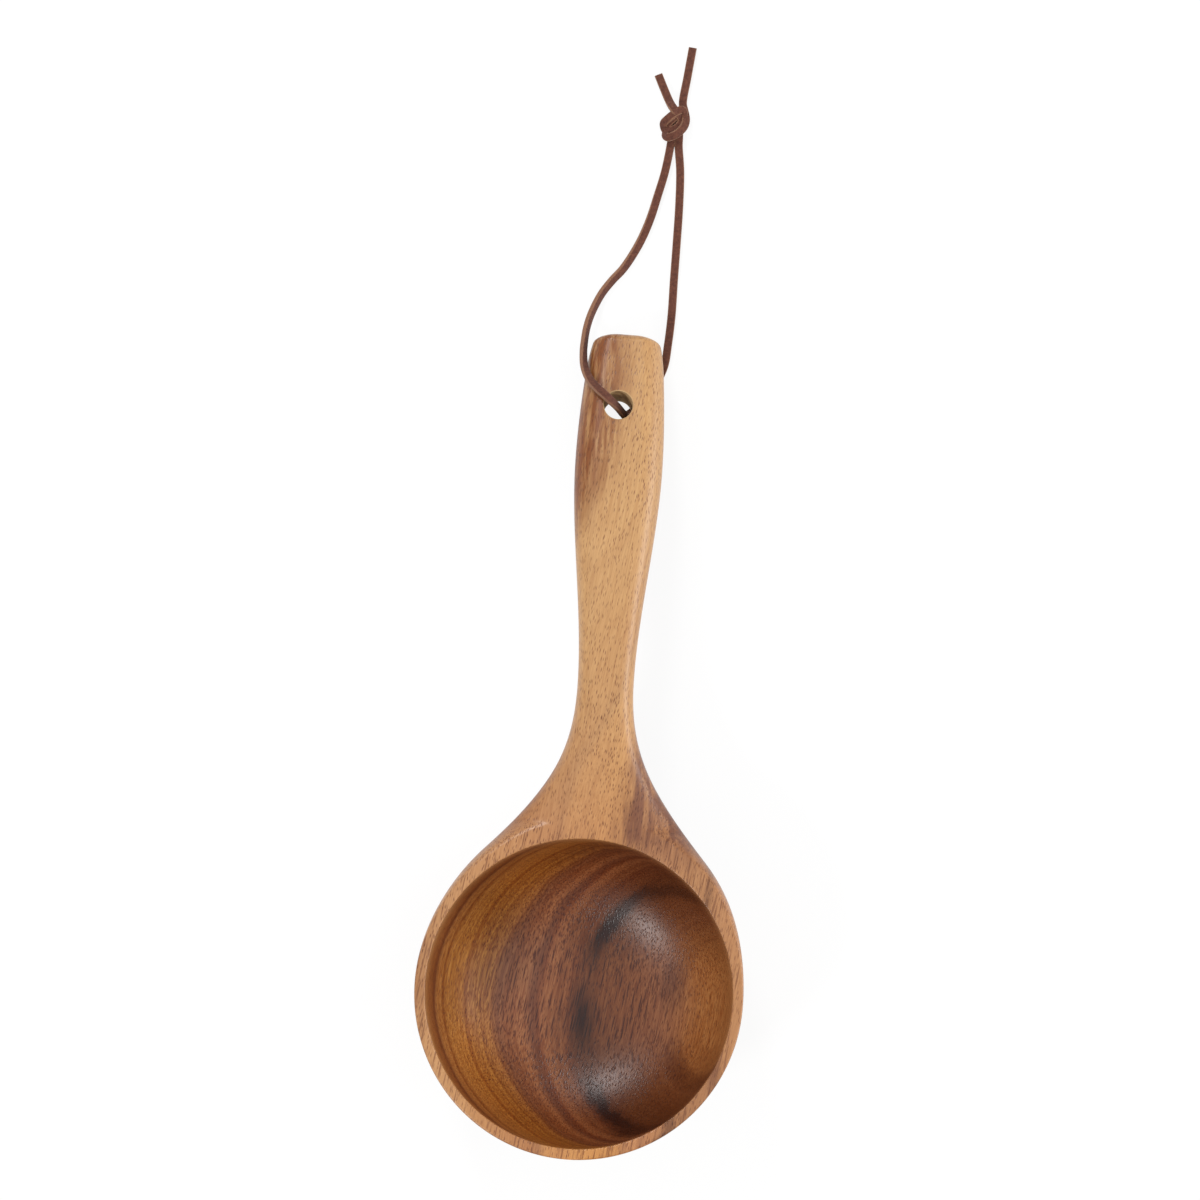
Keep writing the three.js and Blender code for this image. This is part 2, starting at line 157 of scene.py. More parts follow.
handle_under = smooth_line(
    (SHOULDER_STATION, -shoulder_depth, shoulder_slope),
    (THROAT_STATION, handle_top(THROAT_STATION) - THROAT_THICKNESS),
    (NECK_STATION, NECK_RISE - NECK_THICKNESS),
    (GRIP_STATION, GRIP_RISE - GRIP_THICKNESS),
    (HANDLE_REACH, TIP_RISE - TIP_THICKNESS),
)
widest_line = smooth_line(
    (0, -RIM_EASE, 0),
    (SHOULDER_STATION, -SHOULDER_DROP),
    (NECK_STATION, NECK_RISE - NECK_THICKNESS / 2),
    (GRIP_STATION, GRIP_RISE - GRIP_THICKNESS / 2),
    (HANDLE_REACH, TIP_RISE - TIP_THICKNESS / 2),
)
lean_line = smooth_line(
    (0, 0, 0),
    (CREASE_STATION, SHOULDER_DRIFT, 0),
    (NECK_STATION, NECK_DRIFT),
    (HANDLE_REACH, 0, 0),
)


def half_width(station):
    """Half-width of the ladle seen from above."""
    if station < 0:
        return bowl_radius * superellipse(station / bowl_radius, 2)
    if station < SHOULDER_STATION:
        return bowl_radius * superellipse(station / SHOULDER_REACH, 2)
    return handle_half(station)


def half_flat(station):
    """Half-width of the flat on top: the rim as far as the crease, then a narrow land along the handle."""
    reach = bowl_radius - RIM_EASE if station < 0 else CREASE_STATION
    return max((bowl_radius - RIM_EASE) * superellipse(station / reach, 2), TOP_FLAT * half_width(station))


def underside(station):
    """Height of the lowest line, before the foot is planed."""
    if station > SHOULDER_STATION:
        return handle_under(station)
    return -unplaned_depth * superellipse(station / bowl_radius, OUTSIDE_FULLNESS)


def planed(height):
    """The same height with the foot planed flat and its edge eased."""
    over = (height + BOWL_HEIGHT) / FOOT_EASE
    return -BOWL_HEIGHT + FOOT_EASE * (over + math.sqrt(over * over + 1)) / 2


UNDERSIDE_POINTS = 96
EDGE_POINTS = 14
TOP_POINTS = 24


def section(station):
    """One closed section: the underside from right to left, the left edge, the top and the right edge."""
    into_tip = max(0.0, station - HANDLE_REACH + TIP_ROUND)
    share = superellipse(into_tip / TIP_ROUND, TIP_FULLNESS)
    half, flat = share * half_width(station), share * half_flat(station)
    middle = widest_line(station)
    top = 0.0 if station < CREASE_STATION else handle_top(station)
    rise, depth = share * (top - middle), share * (middle - underside(station))
    ring = []
    for k in range(UNDERSIDE_POINTS + 1):
        turn = math.pi * k / UNDERSIDE_POINTS
        across, down = quarter(min(turn, math.pi - turn), OUTSIDE_FULLNESS)
        side = 1 if k < UNDERSIDE_POINTS / 2 else -1
        ring.append((side * half * across, planed(middle - depth * down)))
    left = []
    for k in range(1, EDGE_POINTS + 1):
        across, up = quarter(math.pi / 2 * k / EDGE_POINTS, 2)
        left.append((-flat - (half - flat) * across, middle + rise * up))
    land = [(flat * (2 * k / TOP_POINTS - 1), middle + rise) for k in range(1, TOP_POINTS)]
    ring += left + land + [(-x, z) for x, z in reversed(left)]
    return [Vector((lean_line(station) + x, station, z)) for x, z in ring]


def even(start, end, count):
    """Evenly spaced stations from the start, up to the end but without it."""
    return [start + (end - start) * k / count for k in range(count)]


BOWL_RINGS = 60
SHOULDER_RINGS = 50
CREASE_RINGS = 16
NECK_RINGS = 52
GRIP_RINGS = 64
END_RINGS = 36
TIP_RINGS = 24
stations = [-bowl_radius * math.cos(math.pi / 2 * k / BOWL_RINGS) for k in range(1, BOWL_RINGS)]
stations += even(0, SHOULDER_STATION, SHOULDER_RINGS)
stations += even(SHOULDER_STATION, CREASE_STATION, CREASE_RINGS)
stations += even(CREASE_STATION, NECK_STATION, NECK_RINGS)
stations += even(NECK_STATION, GRIP_STATION, GRIP_RINGS)
stations += even(GRIP_STATION, HANDLE_REACH - TIP_ROUND, END_RINGS)
for k in range(TIP_RINGS):
    stations.append(HANDLE_REACH - TIP_ROUND * (1 - math.sin(math.pi / 2 * k / TIP_RINGS)))


def skin(name, rings, first_pole, last_pole):
    """A closed mesh over rings of points, with a pole at each end."""
    size = len(rings[0])
    points = [first_pole, *(point for ring in rings for point in ring), last_pole]
    last = len(points) - 1
    faces = []
    for k in range(size):
        after = (k + 1) % size
        faces.append((0, 1 + after, 1 + k))
        for r in range(len(rings) - 1):
            low, high = 1 + r * size, 1 + (r + 1) * size
            faces.append((low + k, low + after, high + after, high + k))
        faces.append((last, last - size + k, last - size + after))
    mesh = bpy.data.meshes.new(name)
    mesh.from_pydata(points, [], faces)
    mesh.update()
    return mesh


def shown(name, mesh):
    """A mesh as an object of the scene."""
    piece = bpy.data.objects.new(name, mesh)
    bpy.context.collection.objects.link(piece)
    return piece


def turned(name, profile, segments):
    """A closed solid turned from (radius, height) points, from the axis below to the axis above."""
    rings = []
    for radius, height in profile[1:-1]:
        turns = [2 * math.pi * k / segments for k in range(segments)]
        rings.append([Vector((radius * math.cos(a), radius * math.sin(a), height)) for a in turns])
    poles = [Vector((0, 0, profile[0][1])), Vector((0, 0, profile[-1][1]))]
    return skin(name, rings, *poles)


ladle = shown("ladle", skin(
    "ladle",
    [section(station) for station in stations],
    Vector((0, -bowl_radius, -RIM_EASE)),
    Vector((0, HANDLE_REACH, widest_line(HANDLE_REACH))),
))

# The gouge that hollows the bowl leaves a lip that is sanded over.
HOLLOW_RINGS = 60
HOLLOW_SEGMENTS = 256
LIP_RINGS = 8
LIP_TURN = math.radians(78)
hollow_profile = []
for k in range(HOLLOW_RINGS):
    down, across = quarter(math.pi / 2 * k / HOLLOW_RINGS, HOLLOW_FULLNESS)
    if -hollow_depth * down < -LIP_EASE:
        hollow_profile.append((hollow_radius * across, -hollow_depth * down))
for k in range(LIP_RINGS + 1):
    turn = LIP_TURN * k / LIP_RINGS
    outward = LIP_EASE * (1 - math.cos(turn))
    hollow_profile.append((hollow_radius + outward, LIP_EASE * (math.sin(turn) - 1)))
clear_of_lip = hollow_radius + 2 * LIP_EASE
hollow_profile += [(clear_of_lip, LIP_EASE), (clear_of_lip, hollow_depth), (0, hollow_depth)]
gouge = shown("gouge", turned("gouge", hollow_profile, HOLLOW_SEGMENTS))

# The drill leaves a straight bore, and its mouths are sanded over.
HOLE_SEGMENTS = 96
mouth_height = handle_top(hole_station)
heel_height = handle_under(hole_station)
clear_of_hole = hole_radius + 2 * HOLE_EASE
flare = []
for k in range(LIP_RINGS + 1):
    turn = LIP_TURN * k / LIP_RINGS
    flare.append((hole_radius + HOLE_EASE * (1 - math.cos(turn)), HOLE_EASE * (1 - math.sin(turn))))
hole_profile = [(0, heel_height - HOLE_DIAMETER), (clear_of_hole, heel_height - HOLE_DIAMETER)]
hole_profile += [(radius, heel_height + inside) for radius, inside in reversed(flare)]
hole_profile += [(radius, mouth_height - inside) for radius, inside in flare]
hole_profile += [(clear_of_hole, mouth_height + HOLE_DIAMETER), (0, mouth_height + HOLE_DIAMETER)]
drill = shown("drill", turned("drill", hole_profile, HOLE_SEGMENTS))
drill.data.transform(Matrix.Translation((-HOLE_OFFSET, hole_station, 0)))

LADLE_SHARP = math.radians(20)
for tool in (gouge, drill):
    cut = ladle.modifiers.new(tool.name, "BOOLEAN")
    cut.operation = "DIFFERENCE"
    cut.solver = "MANIFOLD"
    cut.object = tool
bpy.context.view_layer.update()
carved = bpy.data.meshes.new_from_object(ladle.evaluated_get(bpy.context.evaluated_depsgraph_get()))
ladle.modifiers.clear()
ladle.data = carved
for tool in (gouge, drill):
    bpy.data.objects.remove(tool)
carved.name = "ladle"
carved.transform(ladle_matrix)
carved.shade_smooth()
carved.set_sharp_from_angle(angle=LADLE_SHARP)


def colour(code):
    """An sRGB hex colour as linear RGBA."""
    shares = [int(code[i : i + 2], 16) / 255 for i in (1, 3, 5)]
    return [c / 12.92 if c <= 0.04045 else ((c + 0.055) / 1.055) ** 2.4 for c in shares] + [1.0]


def add(tree, kind, inputs=None, stops=(), **settings):
    """A node with settings and ramp stops. An input takes a value, an output or a node's first output."""
    node = tree.nodes.new(kind)
    for name, value in settings.items():
        setattr(node, name, value)
    for key, value in (inputs or {}).items():
        if isinstance(value, bpy.types.Node):
            tree.links.new(value.outputs[0], node.inputs[key])
        elif isinstance(value, bpy.types.NodeSocket):
            tree.links.new(value, node.inputs[key])
        else:
            node.inputs[key].default_value = value
    for k, (share, code) in enumerate(stops):
        elements = node.color_ramp.elements
        element = elements[k] if k < 1 else elements[-1] if k + 1 == len(stops) else elements.new(share)
        element.position = share
        element.color = colour(code)
    return node


# Oiled acacia, sanded smooth: it shows pale sapwood in the handle, and golden and brown heartwood with a
# smoky streak in the bowl. Its growth layers are curved sheets, so that each cut shows them as bands.
# Sizes here are in millimetres. Inputs 0, 6 and 7 of a colour mix are its share and its two colours.
MM = 0.001
BLEND = {"data_type": "RGBA"}
TINT = {"data_type": "RGBA", "blend_type": "MULTIPLY"}
SOFT = {"interpolation_type": "SMOOTHSTEP"}
acacia = bpy.data.materials.new("oiled_acacia")
acacia.use_nodes = True
wood = acacia.node_tree
wood.nodes.clear()
place = add(wood, "ShaderNodeTexCoord").outputs["Object"]
local = add(
    wood, "ShaderNodeMapping",
    {"Vector": place, "Location": rim_centre, "Rotation": (-tilt, 0, 0), "Scale": (MM, MM, MM)},
    vector_type="TEXTURE",
)
axes = add(wood, "ShaderNodeSeparateXYZ", {0: local}).outputs

# The sheets bend about a line left of the bowl, and along the handle they sweep in towards that line.
DRIFT_SIZE = (26, 70, 26)
WANDER = 6
centre_line = add(
    wood, "ShaderNodeMapRange",
    {"Value": axes["Y"], "From Min": 75, "From Max": 215, "To Min": 75, "To Max": 16},
    **SOFT,
)
across = add(wood, "ShaderNodeMath", {0: axes["X"], 1: centre_line}, operation="ADD")
squared = add(wood, "ShaderNodeMath", {0: across, 1: across}, operation="MULTIPLY")
bend = add(
    wood, "ShaderNodeMapRange",
    {"Value": axes["Z"], "From Min": -hollow_depth / MM, "From Max": 0, "To Min": 0.0036, "To Max": 0.0054},
)
sag = add(wood, "ShaderNodeMath", {0: squared, 1: bend}, operation="MULTIPLY")
sheet = add(wood, "ShaderNodeMath", {0: axes["Z"], 1: sag}, operation="SUBTRACT")
slow = add(wood, "ShaderNodeVectorMath", {0: local, 1: DRIFT_SIZE}, operation="DIVIDE")
drift = add(wood, "ShaderNodeTexNoise", {"Vector": slow, "Scale": 1.0, "Detail": 4.0, "Roughness": 0.4})
wander = add(wood, "ShaderNodeMath", {0: drift, 1: WANDER, 2: -WANDER / 2}, operation="MULTIPLY_ADD")
layer = add(wood, "ShaderNodeMath", {0: sheet, 1: wander}, operation="ADD")

# Each layer's colour, by the height of its sheet on the line that the sheets bend about
LAYERS = [
    (-112, "#b07a4c"),
    (-98, "#a06b3c"),
    (-90, "#966236"),
    (-84, "#845230"),
    (-78, "#7a4826"),
    (-70, "#734424"),
    (-63, "#834e2c"),
    (-61, "#925c36"),
    (-57, "#a96e44"),
    (-55.4, "#855236"),
    (-53.5, "#ac7146"),
    (-51, "#b07547"),
    (-49.3, "#98623e"),
    (-47, "#b5793c"),
    (-44, "#be8138"),
    (-38, "#ca8b3f"),
    (-31, "#c58945"),
    (-28, "#b87d42"),
    (-25, "#c58b4d"),
    (-22.4, "#845033"),
    (-20, "#a0663a"),
    (-15, "#a76f40"),
    (-10, "#b5824f"),
    (-4, "#c09463"),
    (6, "#c49a68"),
]
deepest, outermost = LAYERS[0][0], LAYERS[-1][0]
layer_share = add(wood, "ShaderNodeMapRange", {"Value": layer, "From Min": deepest, "From Max": outermost})
heart = add(
    wood, "ShaderNodeValToRGB", {0: layer_share},
    stops=[((depth - deepest) / (outermost - deepest), code) for depth, code in LAYERS],
)

# The wood pales towards the rim and more along the handle, but for a brown patch on the right shoulder.
# On the handle's left, which lay nearest to the bark, brown stripes come in.
PALE_LEAN = 0.05
STRIPE_SIZE = (2.5, 26, 2.5)
to_rim = add(wood, "ShaderNodeMath", {0: axes["Y"], 1: PALE_LEAN, 2: axes["Z"]}, operation="MULTIPLY_ADD")
paler = add(
    wood, "ShaderNodeMapRange", {"Value": to_rim, "From Min": -12, "From Max": 4, "To Max": 0.8}, **SOFT
)
beyond_bowl = add(wood, "ShaderNodeMapRange", {"Value": axes["Y"], "From Min": 56, "From Max": 105})
sapwood = add(
    wood, "ShaderNodeMix", {0: beyond_bowl, 6: colour("#ac7c52"), 7: colour("#b99060")}, **BLEND
).outputs[2]
paled = add(wood, "ShaderNodeMix", {0: paler, 6: heart, 7: sapwood}, **BLEND).outputs[2]
stripe_place = add(wood, "ShaderNodeVectorMath", {0: local, 1: STRIPE_SIZE}, operation="DIVIDE")
stripes = add(
    wood, "ShaderNodeTexNoise", {"Vector": stripe_place, "Scale": 1.0, "Detail": 3.0, "Roughness": 0.6}
)
striped = add(
    wood, "ShaderNodeMapRange", {"Value": stripes, "From Min": 0.36, "From Max": 0.56, "To Min": 0.35}
)
inner = add(wood, "ShaderNodeMapRange", {"Value": layer, "From Min": -34, "From Max": -43})
on_shoulder = add(wood, "ShaderNodeMapRange", {"Value": axes["Y"], "From Min": 46, "From Max": 58})
brown_patch = add(wood, "ShaderNodeMath", {0: inner, 1: on_shoulder}, operation="MULTIPLY")
brown_patch = add(wood, "ShaderNodeMath", {0: brown_patch, 1: striped}, operation="MULTIPLY")
patched = add(wood, "ShaderNodeMix", {0: brown_patch, 6: paled, 7: colour("#764a32")}, **BLEND).outputs[2]
bark_side = add(wood, "ShaderNodeMapRange", {"Value": across, "From Min": 24, "From Max": 8}, **SOFT)
bark_side = add(wood, "ShaderNodeMath", {0: bark_side, 1: striped}, operation="MULTIPLY")
barked = add(wood, "ShaderNodeMix", {0: bark_side, 6: patched, 7: colour("#aa8060")}, **TINT).outputs[2]

# Towards both ends of the bowl, below the rim, the colour darkens: painted shade on the end walls.
along = add(wood, "ShaderNodeMath", {0: axes["Y"]}, operation="ABSOLUTE")
to_ends = add(wood, "ShaderNodeMapRange", {"Value": along, "From Min": 14, "From Max": 46})
below_rim = add(wood, "ShaderNodeMapRange", {"Value": axes["Z"], "From Min": -1, "From Max": -8})
end_wall_shade = add(wood, "ShaderNodeMath", {0: to_ends, 1: below_rim}, operation="MULTIPLY")
end_shaded = add(wood, "ShaderNodeMix", {0: end_wall_shade, 6: barked, 7: colour("#d6c8be")}, **TINT).outputs[2]

# One smoky streak swells and fades along the grain. Near the handle it curls to the right, up the wall, and
# at the far end it hooks over. Where it fades, a fainter smear shows farther right.
SWELL_SPACING = 33
SWELL_SHIFT = 8
STREAK_LAYER = 66
STREAK_CURL = 0.0025
RAGGEDNESS = 4
SMEAR_LAYER = 86
from_swell = add(wood, "ShaderNodeMath", {0: axes["Y"], 1: SWELL_SHIFT}, operation="ADD")
from_swell = add(wood, "ShaderNodeMath", {0: from_swell}, operation="ABSOLUTE")
in_bowl = add(wood, "ShaderNodeMath", {0: from_swell, 1: SWELL_SPACING}, operation="MINIMUM")
wave = add(wood, "ShaderNodeMath", {0: in_bowl, 1: 2 * math.pi / SWELL_SPACING}, operation="MULTIPLY")
wave = add(wood, "ShaderNodeMath", {0: wave}, operation="COSINE")
curl = add(wood, "ShaderNodeMath", {0: axes["Y"], 1: 0.0}, operation="MAXIMUM")
curl = add(wood, "ShaderNodeMath", {0: curl, 1: 2.0}, operation="POWER")
curl = add(wood, "ShaderNodeMath", {0: curl, 1: STREAK_CURL, 2: STREAK_LAYER}, operation="MULTIPLY_ADD")
hook = add(wood, "ShaderNodeMapRange", {"Value": axes["Y"], "From Min": -47, "From Max": -54, "To Max": -7})
up_wall = add(wood, "ShaderNodeMapRange", {"Value": axes["X"], "From Min": 22, "From Max": 42, "To Max": 8})
handle_side = add(wood, "ShaderNodeMapRange", {"Value": axes["Y"], "From Min": 5, "From Max": 20})
up_wall = add(wood, "ShaderNodeMath", {0: up_wall, 1: handle_side}, operation="MULTIPLY")
ragged = add(
    wood, "ShaderNodeMath", {0: stripes, 1: RAGGEDNESS, 2: -RAGGEDNESS / 2}, operation="MULTIPLY_ADD"
)
from_streak = layer
for offset in (curl, hook, up_wall, ragged):
    from_streak = add(wood, "ShaderNodeMath", {0: from_streak, 1: offset}, operation="ADD")
from_streak = add(wood, "ShaderNodeMath", {0: from_streak}, operation="ABSOLUTE")
streak = add(wood, "ShaderNodeMapRange", {"Value": from_streak, "From Min": 3.6, "From Max": 0.6}, **SOFT)
swell = add(wood, "ShaderNodeMapRange", {"Value": wave, "From Min": -1, "From Max": 1, "To Min": 0.35})
in_depth = add(
    wood, "ShaderNodeMapRange", {"Value": axes["Z"], "From Min": -6, "From Max": -36, "To Min": 0.5}
)
short_of_handle = add(
    wood, "ShaderNodeMapRange", {"Value": axes["Y"], "From Min": 44, "From Max": 28, "To Min": 0.6}
)
for share in (swell, in_depth, short_of_handle):
    streak = add(wood, "ShaderNodeMath", {0: streak, 1: share}, operation="MULTIPLY")
streaked = add(wood, "ShaderNodeMix", {0: streak, 6: end_shaded, 7: colour("#6e4c3e")}, **TINT).outputs[2]
from_smear = add(wood, "ShaderNodeMath", {0: layer, 1: SMEAR_LAYER}, operation="ADD")
from_smear = add(wood, "ShaderNodeMath", {0: from_smear}, operation="ABSOLUTE")
smear = add(wood, "ShaderNodeMapRange", {"Value": from_smear, "From Min": 4.5, "From Max": 0.5}, **SOFT)
fade = add(wood, "ShaderNodeMapRange", {"Value": wave, "From Min": 1, "From Max": -1, "To Max": 0.8})
smear = add(wood, "ShaderNodeMath", {0: smear, 1: fade}, operation="MULTIPLY")
smeared = add(wood, "ShaderNodeMix", {0: smear, 6: streaked, 7: colour("#b4a09c")}, **TINT).outputs[2]

# Thin growth lines follow the layers. They show most inside the bowl, and hardly in its dark heart.
LINE_SPACING = 2.5
line_place = add(wood, "ShaderNodeMath", {0: layer, 1: LINE_SPACING}, operation="DIVIDE")
lines = add(
    wood, "ShaderNodeTexNoise", {"W": line_place, "Scale": 1.0, "Detail": 2.0, "Roughness": 0.6},
    noise_dimensions="1D",
)
line_share = add(wood, "ShaderNodeMapRange", {"Value": lines, "From Min": 0.58, "From Max": 0.34})
inside = add(
    wood, "ShaderNodeMapRange",
    {"Value": axes["Z"], "From Min": -2, "From Max": -12, "To Min": 0.12, "To Max": 0.7},
)
clear_of_heart = add(
    wood, "ShaderNodeMapRange",
    {"Value": layer, "From Min": -58, "From Max": -74, "To Min": 1.0, "To Max": 0.2},
)
for share in (inside, clear_of_heart):
    line_share = add(wood, "ShaderNodeMath", {0: line_share, 1: share}, operation="MULTIPLY")
lined = add(wood, "ShaderNodeMix", {0: line_share, 6: smeared, 7: colour("#c09c84")}, **TINT).outputs[2]

# Fibres run a little askew. Sanding opens the pores: short ticks in patches, and long dashes in the floor
# and the rim of the bowl.
GRAIN_LEAN = 0.14
FIBRE_SIZE = (0.5, 14, 0.5)
LEAST_FIBRE = 0.4
TICK_SIZE = (0.58, 3.0, 0.58)
DASH_SIZE = (0.9, 15, 0.9)
grain = add(wood, "ShaderNodeVectorRotate", {"Vector": local, "Angle": GRAIN_LEAN}, rotation_type="Z_AXIS")
fibre_place = add(wood, "ShaderNodeVectorMath", {0: grain, 1: FIBRE_SIZE}, operation="DIVIDE")
fibres = add(
    wood, "ShaderNodeTexNoise", {"Vector": fibre_place, "Scale": 1.0, "Detail": 2.0, "Roughness": 0.6}
)
in_hollow = add(
    wood, "ShaderNodeMapRange", {"Value": axes["Z"], "From Min": 0, "From Max": -14, "To Max": 0.95}
)
fibre_depth = add(wood, "ShaderNodeMapRange", {"Value": fibres, "From Min": 0.62, "From Max": 0.34})
fibre_strength = add(wood, "ShaderNodeMath", {0: in_hollow, 1: LEAST_FIBRE}, operation="MAXIMUM")
fibre_share = add(wood, "ShaderNodeMath", {0: fibre_depth, 1: fibre_strength}, operation="MULTIPLY")
fibrous = add(wood, "ShaderNodeMix", {0: fibre_share, 6: lined, 7: colour("#ccb09a")}, **TINT).outputs[2]
tick_place = add(wood, "ShaderNodeVectorMath", {0: grain, 1: TICK_SIZE}, operation="DIVIDE")
tick_cells = add(wood, "ShaderNodeTexVoronoi", {"Vector": tick_place, "Scale": 1.0, "Randomness": 1.0})
from_tick = tick_cells.outputs["Distance"]
tick_depth = add(wood, "ShaderNodeMapRange", {"Value": from_tick, "From Min": 0.38, "From Max": 0.14})
in_patches = add(
    wood, "ShaderNodeMapRange", {"Value": drift, "From Min": 0.38, "From Max": 0.62, "To Min": 0.55}
)
tick_strength = add(wood, "ShaderNodeMath", {0: in_patches, 1: in_hollow}, operation="MAXIMUM")
ticks = add(wood, "ShaderNodeMath", {0: tick_depth, 1: tick_strength}, operation="MULTIPLY")
dash_place = add(wood, "ShaderNodeVectorMath", {0: grain, 1: DASH_SIZE}, operation="DIVIDE")
dash_cells = add(wood, "ShaderNodeTexVoronoi", {"Vector": dash_place, "Scale": 1.0, "Randomness": 1.0})
from_dash = dash_cells.outputs["Distance"]
dash_depth = add(wood, "ShaderNodeMapRange", {"Value": from_dash, "From Min": 0.4, "From Max": 0.2})
on_floor = add(
    wood, "ShaderNodeMapRange",
    {"Value": axes["Z"], "From Min": -33, "From Max": -43, "To Min": 0.1, "To Max": 0.95},
)
on_rim = add(
    wood, "ShaderNodeMapRange", {"Value": axes["Z"], "From Min": -4, "From Max": -1, "To Max": 0.6}
)
short_of_neck = add(wood, "ShaderNodeMapRange", {"Value": axes["Y"], "From Min": 68, "From Max": 56})
on_rim = add(wood, "ShaderNodeMath", {0: on_rim, 1: short_of_neck}, operation="MULTIPLY")
dash_strength = add(wood, "ShaderNodeMath", {0: on_floor, 1: on_rim}, operation="MAXIMUM")
dashes = add(wood, "ShaderNodeMath", {0: dash_depth, 1: dash_strength}, operation="MULTIPLY")
pores = add(wood, "ShaderNodeMath", {0: ticks, 1: dashes}, operation="MAXIMUM")
pored = add(wood, "ShaderNodeMix", {0: pores, 6: fibrous, 7: colour("#96705f")}, **TINT).outputs[2]

# The bore is left as the drill cut it, so it is dull, and its wall is coloured paler than the oiled wood.
# The oil begins on its sanded mouths.
OIL_BEGINS = 0.1
OIL_IS_FULL = 0.5
BORE_ROUGHNESS = 0.9
FIBRE_RISE = 0.4
plan = add(wood, "ShaderNodeVectorMath", {0: local, 1: (1, 1, 0)}, operation="MULTIPLY")
bore_axis = (-HOLE_OFFSET / MM, hole_station / MM, 0)
bore_wall = hole_radius / MM
from_bore = add(wood, "ShaderNodeVectorMath", {0: plan, 1: bore_axis}, operation="DISTANCE")
oiled = add(
    wood, "ShaderNodeMapRange",
    {
        "Value": from_bore.outputs["Value"],
        "From Min": bore_wall + OIL_BEGINS,
        "From Max": bore_wall + OIL_IS_FULL,
    },
)
bore_paled = add(wood, "ShaderNodeMix", {0: oiled, 6: colour("#b3946a"), 7: pored}, **BLEND).outputs[2]
raised = add(wood, "ShaderNodeMath", {0: fibres, 1: FIBRE_RISE}, operation="MULTIPLY")
surface = add(wood, "ShaderNodeMath", {0: raised, 1: pores}, operation="SUBTRACT")
relief = add(wood, "ShaderNodeBump", {"Height": surface, "Strength": 0.5, "Distance": 0.0001})
sanded = add(wood, "ShaderNodeMapRange", {"Value": fibres, "To Min": 0.3, "To Max": 0.42})
roughness = add(wood, "ShaderNodeMix", {0: oiled, 2: BORE_ROUGHNESS, 3: sanded})
finish = add(
    wood, "ShaderNodeBsdfPrincipled",
    {"Base Color": bore_paled, "Roughness": roughness, "IOR": 1.45, "Normal": relief},
)
add(wood, "ShaderNodeOutputMaterial", {"Surface": finish})

carved.materials.clear()
carved.materials.append(acacia)
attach(ladle, "ladle")
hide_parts("ladle_body")

# The thong: one flat lace of brown split leather, cut square. It is passed through the hole, and its two
# ends are laid together and tied in one overhand knot. Each half, from hole to end, is a piece here.
LACE_WIDTH = 0.0031
LACE_THICKNESS = 0.0019
LACE_CORNER = 0.0005
LACE_STEP = 0.0004
PHOTO_ROLL = math.radians(4.28)
KNOT_SQUEEZE = 0.84
KNOT_REACH = 0.0076
KNOT_LEAN = 150

# Route points are measured from the hole's upper mouth in plan, and from the table in height.
FRONT_ROUTE = [
    (0.0016, -0.0023, 0.014),
    (0, -0.0009, 0.0186),
    (-0.0026, 0.0011, 0.0231),
    (-0.0052, 0.0031, 0.0243),
    (-0.0078, 0.0052, 0.0232),
    (-0.0112, 0.0085, 0.0208),
    (-0.0137, 0.0134, 0.0168),
    (-0.0146, 0.019, 0.0125),
    (-0.0146, 0.0239, 0.009),
    (-0.0142, 0.0288, 0.0066),
    (-0.0132, 0.0336, 0.0048),
    (-0.0115, 0.0385, 0.0035),
    (-0.0092, 0.0434, 0.0026),
    (-0.0058, 0.0484, 0.0022),
    (-0.0019, 0.0533, 0.0019),
    (0.0033, 0.063, 0.0017),
    (0.0067, 0.0724, 0.0016),
    (0.009, 0.0818, 0.0015),
    (0.0111, 0.0911, 0.0014),
]
BACK_ROUTE = [
    (0.0016, -0.0023, 0.014),
    (0.0028, -0.0033, 0.0105),
    (0.0027, -0.0036, 0.0065),
    (0.0034, -0.0029, 0.0034),
    (0.0058, -0.0006, 0.0017),
    (0.0089, 0.003, 0.0014),
    (0.0134, 0.0099, 0.0013),
    (0.0163, 0.017, 0.0013),
    (0.0172, 0.026, 0.0013),
    (0.0177, 0.0366, 0.0013),
    (0.0176, 0.05, 0.0013),
    (0.0176, 0.0641, 0.0013),
    (0.0175, 0.078, 0.0013),
    (0.0169, 0.0916, 0.0013),
]

# The knot's own points run across, along and above its middle, in axes that are turned by the photo's roll.
# Each half comes in underneath, rises to the right, turns back over the top and down the left side, crosses
# over both halves and goes up the right side.
KNOT_PLACE = (0.0135, 0.109, 0.0031)
FRONT_KNOT = [
    (-0.0016, -0.0076, -0.0017),
    (-0.0012, -0.0052, -0.0017),
    (-0.0007, -0.0028, -0.0016),
    (-0.0001, -0.0006, -0.0014),
    (0.0006, 0.0012, -0.0007),
    (0.0012, 0.0027, 0.0001),
    (0.0008, 0.0035, 0.0006),
    (-0.0004, 0.0027, 0.0006),
    (-0.0015, 0.0015, 0.0003),
    (-0.0024, 0.0002, -0.0002),
    (-0.0026, -0.0011, -0.0005),
    (-0.0021, -0.002, -0.0002),
    (-0.001, -0.002, 0.0004),
    (0.0004, -0.0014, 0.0006),
    (0.0016, -0.0004, 0.0004),
    (0.0023, 0.0009, 0.0001),
    (0.0021, 0.0024, 0.0002),
    (0.0012, 0.0037, 0.001),
    (0.0003, 0.0048, 0.0019),
    (-0.0005, 0.0059, 0.0022),
    (-0.0013, 0.0073, 0.0011),
]
SHORT_TAIL = [
    (-0.0022, 0.0094, -0.0008),
    (-0.0041, 0.0141, -0.0018),
    (-0.0062, 0.0194, -0.0018),
]
